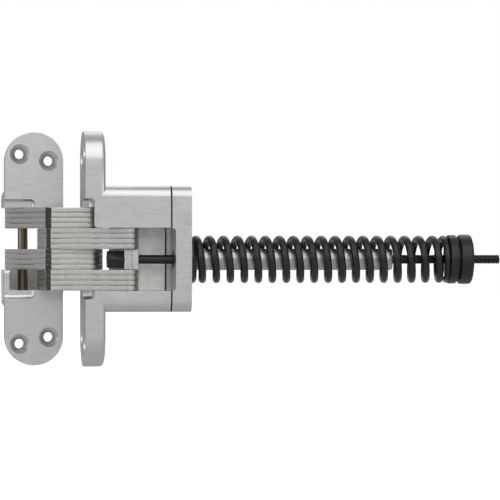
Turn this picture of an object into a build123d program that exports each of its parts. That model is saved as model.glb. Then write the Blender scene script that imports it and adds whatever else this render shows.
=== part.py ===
"""Concealed hinge with a spring closer, modelled half open, at a door opening of 90 degrees.

Frame: the origin is the centre of the jamb leaf's face. +X runs across the jamb leaf towards
the door leaf and along the closing spring, +Y goes into the jamb, and +Z is up, along the pins.
Each leaf also has its own plan: "across" is measured from the middle of its face towards the
corner where the two faces meet, and "depth" is measured into the wood.
The door leaf is the jamb leaf turned half a turn about the bisector of the two faces.
"""

import os
from math import atan2, cos, degrees, hypot, radians, sin, sqrt

from build123d import *

# Face plates
PLATE_LENGTH = 139.7
PLATE_WIDTH = 34.92
EAR_THICKNESS = 12.0
EAR_BACK_ROUND = 2.6
CORNER_GAP = 9.2
FACE_GAP = 0.4

# Cast bodies behind the plates
BODY_HEIGHT = 74.6
BODY_ROUND = 6.5
JAMB_DEPTH = 54.0
DOOR_DEPTH = 50.6
JAMB_TAPER = 4.0
LATCH_WALL = 4.6
LATCH_WALL_START = 17.2
OPEN_SIDE_WALL = 3.0
OPEN_SIDE_WALL_START = 14.6
WINDOW_ROUND = 2.2

# Relief for the ends of the crossing pin
RELIEF_HALF_HEIGHT = 29.8
RELIEF_DEPTH = 5.4
RELIEF_REACH = 0.6
RELIEF_ROUND = 3.0

# Wood screw holes
SCREW_HOLE_DIAMETER = 5.8
SCREW_SINK_DIAMETER = 12.0
SCREW_SINK_ANGLE = 82
OUTER_SCREW_ACROSS = -8.6
OUTER_SCREW_SPACING = 113.6
INNER_SCREW_ACROSS = 8.8
INNER_SCREW_SPACING = 105.6

# Link packs
ROWS = 4
PLATES_PER_ROW = 4
LINK_THICKNESS = 3.0
LINK_PITCH = 3.09
LINK_EDGE_CHAMFER = 0.3
LINK_END_RADIUS = 3.6
SLIDE_END_RADIUS = 4.7
SHORT_ARM_ROUND = 8.0
LONG_ARM_ROUND = 6.5
ELBOW_REACH = 4.65
ELBOW_ROUND = 0.8
SHORT_ARM_FLARE = 9.9
LONG_ARM_FLARE = 9.9
ARM_INNER_REACH = 4.7
INNER_CORNER_REACH = 3.7
INNER_CORNER_ROUND = 2.0
BAY_START = 9.0
BAY_END = 40.4
NICK_DEPTH = 1.1
POCKET_CLEARANCE = 0.15

# Pins and their places in a leaf's plan, with the leaves at 90 degrees
PIVOT_ACROSS = 13.8
PIVOT_DEPTH = 9.2
SLIDE_ACROSS = -4.6
SLIDE_DEPTH = 28.0
PIVOT_PIN_DIAMETER = 4.0
CROSSING_PIN_DIAMETER = 5.0
SLIDE_PIN_DIAMETER = 6.0
PIN_CLEARANCE = 0.05
PIN_END_CHAMFER = 0.4
PIVOT_PIN_GRIP = 6.0
CROSSING_PIN_PROUD = 3.2
SLIDE_PIN_PROUD = 3.0
SLOT_CLEARANCE = 0.4
BAY_CLEARANCE = 0.5

# Share of each quarter turn of opening that the fixed pivot and the slide pin take, in degrees
PIVOT_TURN = 60.0
SLIDE_TURN = 30.0

# Spring closer
CAP_THICKNESS = 12.5
CAP_RECESS = 6.0
CAP_RECESS_ROUND = 2.4
CAP_RECESS_OVERRUN = 2.0
TUBE_DIAMETER = 12.8
TUBE_WALL = 0.85
TUBE_PAST_CAP = 122.0
TUBE_SEAT_DEPTH = 3.0
CAP_SCREW_DIAMETER = 4.0
CAP_SCREW_HEAD_DIAMETER = 7.0
CAP_SCREW_HEAD_HEIGHT = 4.0
CAP_SCREW_LENGTH = 16.0
CAP_SCREW_ACROSS = 9.5
CAP_SCREW_UP = 31.0
CAP_SCREW_CLEARANCE = 0.1
CAP_SCREW_SOCKET = 3.0
ROD_DIAMETER = 5.3
ROD_CLEARANCE = 0.15
ROD_PAST_CAP = 187.2
ROD_TIP_CHAMFER = 0.8
ROD_HEAD_LENGTH = 9.8
ROD_HEAD_ACROSS_FLATS = 10.0
TRUNNION_LENGTH = 8.4
TRUNNION_WIDTH = 10.5
TRUNNION_GROOVE_WIDTH = 1.1
TRUNNION_GROOVE_DEPTH = 0.8
TRUNNION_EDGE_CHAMFER = 0.3
TRUNNION_CLEARANCE = 0.15
SPRING_DIAMETER = 29.1
SPRING_WIRE = 4.5
SPRING_COILS = 18.5
SPRING_LENGTH = 156.0
SEAT_THICKNESS = 4.4
SEAT_NECK_DIAMETER = 24.0
SEAT_NECK_LENGTH = 1.8
NUT_THICKNESS = 7.6
NUT_DIAMETER = 29.6
NUT_CHAMFER = 0.9

half_width = PLATE_WIDTH / 2
corner_x = half_width + CORNER_GAP
row_height = PLATES_PER_ROW * LINK_PITCH
pack_half_height = ROWS / 2 * row_height
channel_half_height = pack_half_height + POCKET_CLEARANCE


def partner(point):
    """The place of a jamb-side point on the door side, in plan."""
    return (corner_x + point[1], point[0] - corner_x)


def turned(vector, angle):
    """A plan vector turned about +Z by an angle in degrees."""
    c, s = cos(radians(angle)), sin(radians(angle))
    return (c * vector[0] - s * vector[1], s * vector[0] + c * vector[1])


def crossing_point():
    """Where the link packs cross at 90 degrees.

    It lies on the bisector of the faces, and a turn of PIVOT_TURN about the jamb's pivot pin
    brings it midway between the faces of the closed leaves.
    """
    reach = corner_x - PIVOT_ACROSS + PIVOT_DEPTH
    drop = PIVOT_DEPTH + FACE_GAP / 2
    s, c = sin(radians(PIVOT_TURN)), cos(radians(PIVOT_TURN))
    along_depth = (drop - reach * s) / (s - c)
    return (PIVOT_ACROSS + along_depth + reach, PIVOT_DEPTH + along_depth)


jamb_pivot = (PIVOT_ACROSS, PIVOT_DEPTH)
jamb_slide = (SLIDE_ACROSS, SLIDE_DEPTH)
crossing = crossing_point()
door_pivot = partner(jamb_pivot)
door_slide = partner(jamb_slide)
short_arm = hypot(crossing[0] - PIVOT_ACROSS, crossing[1] - PIVOT_DEPTH)
long_arm = hypot(crossing[0] - SLIDE_ACROSS, crossing[1] - SLIDE_DEPTH)


def crossing_at(share):
    """The crossing pin in a leaf's plan, for a share from -1, closed, to 1, fully open."""
    arm = (crossing[0] - PIVOT_ACROSS, crossing[1] - PIVOT_DEPTH)
    swung = turned(arm, share * PIVOT_TURN)
    return (PIVOT_ACROSS + swung[0], PIVOT_DEPTH + swung[1])


def slide_at(share):
    """The slide pin in a leaf's plan, for a share from -1, closed, to 1, fully open."""
    arm = (SLIDE_ACROSS - crossing[0], SLIDE_DEPTH - crossing[1])
    centre = crossing_at(share)
    swung = turned(arm, share * SLIDE_TURN)
    return (centre[0] + swung[0], centre[1] + swung[1])


SLOT_STEPS = 6
slot_path = [slide_at(step / SLOT_STEPS) for step in range(-SLOT_STEPS, SLOT_STEPS + 1)]
slot_width = SLIDE_PIN_DIAMETER + 2 * SLOT_CLEARANCE
slot_middle = (min(p[0] for p in slot_path) + max(p[0] for p in slot_path)) / 2
slot_swing = max(p[0] for p in slot_path) - min(p[0] for p in slot_path)

# Plan axes of link pack A: along its long arm, and outwards, away from the corner of the faces
arm_angle = degrees(atan2(SLIDE_DEPTH - crossing[1], SLIDE_ACROSS - crossing[0]))


def on_arm(along, outward):
    """A point beside link pack A's long arm, in plan, measured from the crossing pin."""
    offset = turned((along, outward), arm_angle)
    return (crossing[0] + offset[0], crossing[1] + offset[1])


def pin_from_open_arm():
    """The jamb's pivot pin beside pack A's long arm when the hinge is fully open."""
    centre = crossing_at(1)
    away = (PIVOT_ACROSS - centre[0], PIVOT_DEPTH - centre[1])
    return turned(away, -(arm_angle + SLIDE_TURN))


def body_plan(depth, taper):
    """A cast body in plan, from just behind the face down to its end."""
    with BuildSketch() as plan:
        with BuildLine():
            Polyline(
                (-half_width, EAR_BACK_ROUND),
                (half_width, EAR_BACK_ROUND),
                (half_width, depth),
                (taper - half_width, depth),
                (-half_width, EAR_THICKNESS + EAR_BACK_ROUND),
                close=True,
            )
        make_face()
    return plan.sketch


def channel_plan(depth):
    """The room that the link packs swing in, open at the face, at one side and at the end."""
    wall_inside = half_width - LATCH_WALL
    outside = half_width + 1
    beyond = depth + 1
    with BuildSketch() as plan:
        with BuildLine():
            Polyline(
                (-outside, -1),
                (outside, -1),
                (outside, LATCH_WALL_START),
                (wall_inside, LATCH_WALL_START),
                (wall_inside, beyond),
                (-outside, beyond),
                close=True,
            )
        make_face()
        corners = plan.vertices().filter_by_position(Axis.Y, LATCH_WALL_START - 1, LATCH_WALL_START + 1)
        fillet(corners.sort_by(Axis.X)[0], radius=WINDOW_ROUND)
    return plan.sketch


def side_wall_plan(depth, taper):
    """The wall that closes the open side beside the last row of links."""
    inside = half_width - OPEN_SIDE_WALL
    outside = half_width + 2
    beyond = depth + 2
    slope = taper / (depth - EAR_THICKNESS - EAR_BACK_ROUND)
    with BuildSketch() as plan:
        with BuildLine():
            Polyline(
                (-outside, OPEN_SIDE_WALL_START),
                (-inside, OPEN_SIDE_WALL_START),
                (-inside + slope * (beyond - OPEN_SIDE_WALL_START), beyond),
                (-outside, beyond),
                close=True,
            )
        make_face()
        corners = plan.vertices().filter_by_position(Axis.Y, OPEN_SIDE_WALL_START - 1, OPEN_SIDE_WALL_START + 1)
        fillet(corners.sort_by(Axis.X)[-1], radius=WINDOW_ROUND)
    return plan.sketch


def relief_outline():
    """The shallow recess round the channel's mouth, seen from the face."""
    with BuildSketch(Plane.XZ.offset(1)) as outline:
        with BuildLine():
            Polyline(
                (-half_width - 1, -RELIEF_HALF_HEIGHT),
                (RELIEF_REACH, -RELIEF_HALF_HEIGHT),
                (RELIEF_REACH, RELIEF_HALF_HEIGHT),
                (-half_width - 1, RELIEF_HALF_HEIGHT),
                close=True,
            )
        make_face()
        fillet(outline.vertices().group_by(Axis.X)[-1], radius=RELIEF_ROUND)
    return outline.sketch


def groove_plan():
    """The groove that guides a slide pin from its closed to its fully open place."""
    with BuildSketch() as plan:
        with BuildLine() as centre_line:
            Spline(*slot_path)
        trace(line_width=slot_width)
        with Locations(slot_path[0], slot_path[-1]):
            Circle(slot_width / 2)
    return plan.sketch


def make_leaf(depth, taper):
    """A leaf as it stands in the jamb, with its long links in the first and third rows."""
    with BuildPart() as leaf:
        with BuildSketch(Plane.XZ):
            SlotOverall(PLATE_LENGTH, PLATE_WIDTH, rotation=90)
        extrude(amount=-EAR_THICKNESS)
        fillet(leaf.edges().group_by(Axis.Y)[-1], radius=EAR_BACK_ROUND)
        body = extrude(
            body_plan(depth, taper), amount=BODY_HEIGHT / 2, both=True, mode=Mode.PRIVATE
        )
        long_edges = [
            edge
            for edge in body.edges()
            if abs(edge.center().Z) > BODY_HEIGHT / 2 - 0.01
            and abs(edge.center().X) > half_width / 2
            and edge.center().Y > EAR_THICKNESS + EAR_BACK_ROUND
        ]
        add(body.fillet(BODY_ROUND, long_edges))
        extrude(relief_outline(), amount=-(RELIEF_DEPTH + 1), mode=Mode.SUBTRACT)
        channel = extrude(
            channel_plan(depth), amount=channel_half_height, both=True, mode=Mode.PRIVATE
        )
        side_wall = extrude(
            side_wall_plan(depth, taper), amount=-2 * channel_half_height, mode=Mode.PRIVATE
        )
        last_row_top = row_height - channel_half_height
        add(channel - side_wall.moved(Location((0, 0, last_row_top))), mode=Mode.SUBTRACT)
        with Locations((PIVOT_ACROSS, PIVOT_DEPTH, 0)):
            Cylinder(
                PIVOT_PIN_DIAMETER / 2 + PIN_CLEARANCE,
                2 * (pack_half_height + PIVOT_PIN_GRIP + PIN_CLEARANCE),
                mode=Mode.SUBTRACT,
            )
        extrude(
            groove_plan(),
            amount=pack_half_height + SLIDE_PIN_PROUD + SLOT_CLEARANCE,
            both=True,
            mode=Mode.SUBTRACT,
        )
        with Locations(Plane.XZ):
            with Locations(*screw_places):
                CounterSinkHole(
                    SCREW_HOLE_DIAMETER / 2,
                    SCREW_SINK_DIAMETER / 2,
                    depth=EAR_THICKNESS + 1,
                    counter_sink_angle=SCREW_SINK_ANGLE,
                )
    return leaf.part


def link_outline():
    """A plate of link pack A in plan: a short and a long arm that meet at the crossing pin."""
    elbow = (crossing[0] - ELBOW_REACH / sqrt(2), crossing[1] - ELBOW_REACH / sqrt(2))
    long_end = long_arm + SLIDE_END_RADIUS
    short_end = door_pivot[0] + LINK_END_RADIUS
    flared_corner = (short_end, door_pivot[1] - SHORT_ARM_FLARE)
    inner_corner = (crossing[0] + INNER_CORNER_REACH, crossing[1] + ARM_INNER_REACH)
    pin_along, pin_outward = pin_from_open_arm()
    bay_top = pin_outward + PIVOT_PIN_DIAMETER / 2 + BAY_CLEARANCE
    with BuildSketch() as outline:
        with BuildLine():
            Polyline(
                on_arm(BAY_START, -ARM_INNER_REACH),
                inner_corner,
                (short_end, door_pivot[1] + LINK_END_RADIUS),
                flared_corner,
                elbow,
                on_arm(long_end, LONG_ARM_FLARE),
                on_arm(long_end, -SLIDE_END_RADIUS),
                on_arm(BAY_END, -SLIDE_END_RADIUS),
            )
            ThreePointArc(
                on_arm(BAY_END, -SLIDE_END_RADIUS),
                on_arm(pin_along, bay_top),
                on_arm(BAY_START, -ARM_INNER_REACH),
            )
        make_face()
        for corner, radius in (
            (inner_corner, INNER_CORNER_ROUND),
            ((short_end, door_pivot[1] + LINK_END_RADIUS), LINK_END_RADIUS - 0.1),
            (flared_corner, SHORT_ARM_ROUND),
            (on_arm(long_end, LONG_ARM_FLARE), LONG_ARM_ROUND),
            (on_arm(long_end, -SLIDE_END_RADIUS), SLIDE_END_RADIUS - 0.1),
        ):
            fillet(outline.vertices().sort_by_distance(corner)[0], radius=radius)
        with Locations(elbow):
            Rectangle(NICK_DEPTH * sqrt(2), NICK_DEPTH * sqrt(2), mode=Mode.SUBTRACT)
    return outline.sketch


def make_link_plate(level):
    """One plate of link pack A, with its middle at a height on the pins."""
    with BuildPart() as plate:
        extrude(link_outline().moved(Location((0, 0, level))), amount=LINK_THICKNESS / 2, both=True)
        rims = plate.faces().filter_by(Axis.Z).edges()
        chamfer(rims, length=LINK_EDGE_CHAMFER)
        for place, diameter in (
            (crossing, CROSSING_PIN_DIAMETER),
            (door_pivot, PIVOT_PIN_DIAMETER),
            (jamb_slide, SLIDE_PIN_DIAMETER),
        ):
            with Locations((*place, level)):
                Hole(diameter / 2 + PIN_CLEARANCE)
    return plate.part


def make_pin(place, diameter, proud):
    """A headless pin through all four rows, with chamfered ends."""
    with BuildPart() as pin:
        with Locations((*place, 0)):
            Cylinder(diameter / 2, 2 * (pack_half_height + proud))
        chamfer(pin.edges().filter_by(GeomType.CIRCLE), length=PIN_END_CHAMFER)
    return pin.part


screw_places = [
    (across, side * spacing / 2)
    for across, spacing in (
        (OUTER_SCREW_ACROSS, OUTER_SCREW_SPACING),
        (INNER_SCREW_ACROSS, INNER_SCREW_SPACING),
    )
    for side in (1, -1)
]
cap_screw_places = [
    (side * CAP_SCREW_ACROSS - corner_x, up * CAP_SCREW_UP) for side in (1, -1) for up in (1, -1)
]
cap_screw_grip = CAP_SCREW_HEAD_HEIGHT + CAP_SCREW_LENGTH - CAP_THICKNESS
cap_face = corner_x + DOOR_DEPTH
cap_back = cap_face + CAP_THICKNESS
half_turn_axis = Axis((corner_x, 0, 0), (1, 1, 0))

with BuildPart() as jamb_leaf:
    add(make_leaf(JAMB_DEPTH, JAMB_TAPER))
jamb_leaf.part.label = "jamb_leaf"

with BuildPart() as door_leaf:
    add(make_leaf(DOOR_DEPTH, 0).rotate(half_turn_axis, 180))
    with Locations(Plane.YZ.offset(cap_face)):
        with Locations(*cap_screw_places):
            Hole(CAP_SCREW_DIAMETER / 2, depth=cap_screw_grip + CAP_SCREW_CLEARANCE)
door_leaf.part.label = "door_leaf"

tube_y = slot_middle - corner_x
rod_y = door_slide[1]
rod_z = -row_height / 2
tube_bore = TUBE_DIAMETER - 2 * TUBE_WALL

# The cap closes the door leaf and carries the guide tube and the spring
with BuildPart() as end_cap:
    with BuildSketch(Plane.YZ.offset(cap_face)):
        with Locations((-corner_x, 0)):
            RectangleRounded(PLATE_WIDTH, BODY_HEIGHT, BODY_ROUND)
    extrude(amount=CAP_THICKNESS)
    recess_middle = (LATCH_WALL - half_width - 1 - corner_x - half_width) / 2
    with BuildSketch(Plane.YZ.offset(cap_face)):
        with Locations((-corner_x - LATCH_WALL / 2 - CAP_RECESS_OVERRUN / 2, 0)):
            Rectangle(PLATE_WIDTH - LATCH_WALL + CAP_RECESS_OVERRUN, 2 * channel_half_height)
    extrude(amount=CAP_RECESS, mode=Mode.SUBTRACT)
    floor = end_cap.faces().filter_by(Plane.YZ).sort_by(Axis.X)[1]
    fillet(floor.edges().filter_by(Axis.Y) + floor.edges().filter_by(Axis.Z).sort_by(Axis.Y)[-1:], radius=CAP_RECESS_ROUND)
    with BuildSketch(Plane.YZ.offset(cap_back)):
        with Locations((tube_y, rod_z)):
            Circle(TUBE_DIAMETER / 2)
    extrude(amount=-TUBE_SEAT_DEPTH, mode=Mode.SUBTRACT)
    with BuildSketch(Plane.YZ.offset(cap_back)):
        with Locations((tube_y, rod_z)):
            Circle(tube_bore / 2)
    extrude(amount=-CAP_THICKNESS, mode=Mode.SUBTRACT)
    with Locations(Plane.YZ.offset(cap_back)):
        with Locations(*cap_screw_places):
            CounterBoreHole(
                CAP_SCREW_DIAMETER / 2 + CAP_SCREW_CLEARANCE,
                CAP_SCREW_HEAD_DIAMETER / 2 + CAP_SCREW_CLEARANCE,
                counter_bore_depth=CAP_SCREW_HEAD_HEIGHT,
                depth=CAP_THICKNESS,
            )
end_cap.part.label = "end_cap"

with BuildPart() as guide_tube:
    with Locations((cap_back - TUBE_SEAT_DEPTH, tube_y, rod_z)):
        Cylinder(
            TUBE_DIAMETER / 2,
            TUBE_PAST_CAP + TUBE_SEAT_DEPTH,
            rotation=(0, 90, 0),
            align=(Align.CENTER, Align.CENTER, Align.MIN),
        )
        Cylinder(
            tube_bore / 2,
            TUBE_PAST_CAP + TUBE_SEAT_DEPTH,
            rotation=(0, 90, 0),
            align=(Align.CENTER, Align.CENTER, Align.MIN),
            mode=Mode.SUBTRACT,
        )
guide_tube.part.label = "guide_tube"

with BuildPart() as cap_screws:
    for across, up in cap_screw_places:
        with BuildSketch(Plane.YZ.offset(cap_back)):
            with Locations((across, up)):
                Circle(CAP_SCREW_HEAD_DIAMETER / 2)
        extrude(amount=-CAP_SCREW_HEAD_HEIGHT)
        with BuildSketch(Plane.YZ.offset(cap_back - CAP_SCREW_HEAD_HEIGHT)):
            with Locations((across, up)):
                Circle(CAP_SCREW_DIAMETER / 2)
        extrude(amount=-CAP_SCREW_LENGTH)
        with BuildSketch(Plane.YZ.offset(cap_back)):
            with Locations((across, up)):
                RegularPolygon(CAP_SCREW_SOCKET / sqrt(3), 6)
        extrude(amount=-CAP_SCREW_HEAD_HEIGHT / 2, mode=Mode.SUBTRACT)
cap_screws.part.label = "cap_screws"

# The trunnion turns between the door-side link plates and slides in the door leaf's grooves
with BuildPart() as trunnion:
    with Locations((*door_slide, rod_z)):
        Box(TRUNNION_LENGTH, TRUNNION_WIDTH, row_height - 2 * TRUNNION_CLEARANCE)
        chamfer(trunnion.edges(), length=TRUNNION_EDGE_CHAMFER)
    for side in (1, -1):
        groove_y = rod_y + side * (TRUNNION_WIDTH - TRUNNION_GROOVE_DEPTH) / 2
        with Locations((door_slide[0], groove_y, rod_z)):
            Box(TRUNNION_GROOVE_WIDTH, TRUNNION_GROOVE_DEPTH, row_height, mode=Mode.SUBTRACT)
    with Locations((*door_slide, 0)):
        Cylinder(SLIDE_PIN_DIAMETER / 2, 2 * (pack_half_height + SLIDE_PIN_PROUD))
    with Locations((*door_slide, rod_z)):
        Cylinder(
            ROD_DIAMETER / 2 + ROD_CLEARANCE, 2 * TRUNNION_LENGTH, rotation=(0, 90, 0), mode=Mode.SUBTRACT
        )
trunnion.part.label = "trunnion"

# The rod pulls the trunnion outwards; its hexagonal head bears on the trunnion's near face
rod_shoulder = door_slide[0] - TRUNNION_LENGTH / 2
rod_tip = cap_back + ROD_PAST_CAP
with BuildPart() as draw_rod:
    with BuildSketch(Plane.YZ.offset(rod_shoulder)):
        with Locations((rod_y, rod_z)):
            RegularPolygon(ROD_HEAD_ACROSS_FLATS / sqrt(3), 6)
    extrude(amount=-ROD_HEAD_LENGTH)
    with BuildSketch(Plane.YZ.offset(rod_shoulder)):
        with Locations((rod_y, rod_z)):
            Circle(ROD_DIAMETER / 2)
    extrude(amount=rod_tip - rod_shoulder)
    chamfer(draw_rod.faces().sort_by(Axis.X)[-1].edges(), length=ROD_TIP_CHAMFER)
draw_rod.part.label = "draw_rod"

# The spring pushes the seat and its adjusting nut away from the cap
seat_face = cap_back + SPRING_LENGTH
with BuildPart() as spring_seat:
    with BuildSketch(Plane.YZ.offset(seat_face)):
        with Locations((rod_y, rod_z)):
            Circle(SPRING_DIAMETER / 2)
    extrude(amount=SEAT_THICKNESS)
    with BuildSketch(Plane.YZ.offset(seat_face + SEAT_THICKNESS)):
        with Locations((rod_y, rod_z)):
            Circle(SEAT_NECK_DIAMETER / 2)
    extrude(amount=SEAT_NECK_LENGTH)
    with Locations((seat_face, rod_y, rod_z)):
        Cylinder(
            ROD_DIAMETER / 2 + ROD_CLEARANCE,
            4 * (SEAT_THICKNESS + SEAT_NECK_LENGTH),
            rotation=(0, 90, 0),
            mode=Mode.SUBTRACT,
        )
spring_seat.part.label = "spring_seat"

nut_face = seat_face + SEAT_THICKNESS + SEAT_NECK_LENGTH
with BuildPart() as adjusting_nut:
    with BuildSketch(Plane.YZ.offset(nut_face)):
        with Locations((rod_y, rod_z)):
            Circle(NUT_DIAMETER / 2)
    extrude(amount=NUT_THICKNESS)
    chamfer(adjusting_nut.edges().filter_by(GeomType.CIRCLE), length=NUT_CHAMFER)
    with Locations((nut_face, rod_y, rod_z)):
        Cylinder(
            ROD_DIAMETER / 2, 4 * NUT_THICKNESS, rotation=(0, 90, 0), mode=Mode.SUBTRACT
        )
adjusting_nut.part.label = "adjusting_nut"

# The coil is made longer than it stands and ground flat at both ends
spring_pitch = (SPRING_LENGTH - SPRING_WIRE) / (SPRING_COILS - 1)
coil_radius = (SPRING_DIAMETER - SPRING_WIRE) / 2
coil_start = cap_back - spring_pitch / 2
with BuildPart() as spring:
    with BuildLine() as coil:
        Helix(
            spring_pitch,
            SPRING_LENGTH + spring_pitch,
            coil_radius,
            center=(coil_start, tube_y, rod_z),
            direction=(1, 0, 0),
        )
    with BuildSketch(Plane(origin=coil.line @ 0, z_dir=coil.line % 0)):
        Circle(SPRING_WIRE / 2)
    sweep(path=coil.line, is_frenet=True)
    with Locations((cap_back, tube_y, rod_z)):
        Box(
            SPRING_LENGTH,
            2 * SPRING_DIAMETER,
            2 * SPRING_DIAMETER,
            align=(Align.MIN, Align.CENTER, Align.CENTER),
            mode=Mode.INTERSECT,
        )
spring.part.label = "spring"

with BuildPart() as crossing_pin:
    add(make_pin(crossing, CROSSING_PIN_DIAMETER, CROSSING_PIN_PROUD))
crossing_pin.part.label = "crossing_pin"

with BuildPart() as jamb_pivot_pin:
    add(make_pin(jamb_pivot, PIVOT_PIN_DIAMETER, PIVOT_PIN_GRIP))
jamb_pivot_pin.part.label = "jamb_pivot_pin"

with BuildPart() as door_pivot_pin:
    add(make_pin(door_pivot, PIVOT_PIN_DIAMETER, PIVOT_PIN_GRIP))
door_pivot_pin.part.label = "door_pivot_pin"

with BuildPart() as jamb_slide_pin:
    add(make_pin(jamb_slide, SLIDE_PIN_DIAMETER, SLIDE_PIN_PROUD))
jamb_slide_pin.part.label = "jamb_slide_pin"

# Pack A fills the first and third rows; turned half a turn, it is pack B in the other two
plate_levels = [
    row_top - (place + 0.5) * LINK_PITCH
    for row_top in (2 * row_height, 0)
    for place in range(PLATES_PER_ROW)
]
link_plates = []
for number, level in enumerate(plate_levels, start=1):
    plate_a = make_link_plate(level)
    plate_a.label = f"link_a_plate_{number}"
    plate_b = make_link_plate(level).rotate(half_turn_axis, 180)
    plate_b.label = f"link_b_plate_{number}"
    link_plates += [plate_a, plate_b]

os.makedirs("parts", exist_ok=True)
for piece in (
    jamb_leaf.part,
    door_leaf.part,
    end_cap.part,
    guide_tube.part,
    cap_screws.part,
    trunnion.part,
    draw_rod.part,
    spring_seat.part,
    adjusting_nut.part,
    spring.part,
    crossing_pin.part,
    jamb_pivot_pin.part,
    door_pivot_pin.part,
    jamb_slide_pin.part,
    *link_plates,
):
    export_step(piece, f"parts/{piece.label}.step")
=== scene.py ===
"""Studio scene of a concealed hinge with a spring closer.

The hinge stands half open, as in the reference picture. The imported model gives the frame: castings,
link plates, pins and the closer's parts. This script dresses them with finishes, gives the castings
and turned parts the small edge rounds of the real ones, and reshapes the leaves, the end cap and the
link plates where the real ones differ from the model. It models the closing spring with closed ends
and the draw rod with its rolled thread. All lengths are in metres unless a name ends in _mm.
"""

import logging
from contextlib import contextmanager
from dataclasses import dataclass, field
from enum import Enum
from math import cos, pi, radians, sin, sqrt, tan, tau
from typing import Any, Callable, Iterator, Sequence

import bpy
from mathutils import Matrix, Vector

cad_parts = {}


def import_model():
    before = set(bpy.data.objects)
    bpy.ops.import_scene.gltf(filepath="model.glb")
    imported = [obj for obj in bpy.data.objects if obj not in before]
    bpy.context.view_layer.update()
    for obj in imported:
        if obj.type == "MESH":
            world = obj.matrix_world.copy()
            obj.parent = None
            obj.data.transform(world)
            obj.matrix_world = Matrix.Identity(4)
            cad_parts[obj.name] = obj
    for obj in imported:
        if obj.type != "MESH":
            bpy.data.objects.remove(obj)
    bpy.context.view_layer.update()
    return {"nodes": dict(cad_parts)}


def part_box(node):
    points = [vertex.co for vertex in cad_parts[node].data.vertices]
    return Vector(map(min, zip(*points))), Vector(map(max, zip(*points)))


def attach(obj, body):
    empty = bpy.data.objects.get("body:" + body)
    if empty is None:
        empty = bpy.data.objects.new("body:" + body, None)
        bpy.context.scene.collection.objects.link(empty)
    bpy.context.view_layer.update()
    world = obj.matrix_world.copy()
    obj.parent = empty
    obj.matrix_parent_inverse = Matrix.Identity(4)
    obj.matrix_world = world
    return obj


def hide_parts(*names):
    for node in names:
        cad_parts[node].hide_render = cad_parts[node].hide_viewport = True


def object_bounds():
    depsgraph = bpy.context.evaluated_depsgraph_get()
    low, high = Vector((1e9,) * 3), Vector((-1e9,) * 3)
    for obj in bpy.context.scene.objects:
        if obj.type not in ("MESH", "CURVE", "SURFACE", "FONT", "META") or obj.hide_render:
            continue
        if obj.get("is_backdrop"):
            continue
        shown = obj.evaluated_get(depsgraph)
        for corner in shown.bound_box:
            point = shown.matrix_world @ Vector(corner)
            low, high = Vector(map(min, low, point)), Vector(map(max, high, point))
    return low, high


LOG = logging.getLogger("concealed_hinge")
MM = 0.001
TOUCH = 0.01 * MM  # places closer than this count as one
MERGE_GAP = 0.002 * MM  # corners of the frame's triangles closer than this are merged
FLAT_ANGLE = radians(0.4)  # faces that turn by less than this are one flat face


class Body(Enum):
    """The rigid groups that the hinge's pieces move with."""

    JAMB = "jamb"
    DOOR = "door"
    LINK_A = "link_a"
    LINK_B = "link_b"
    DRAWBAR = "drawbar"


class BrushDirection(Enum):
    """How strongly a brushed grain is stretched along X, Y and Z: a small value is a long streak."""

    ALONG_X = (0.06, 1.0, 1.0)
    ALONG_Z = (1.0, 1.0, 0.06)


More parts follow.
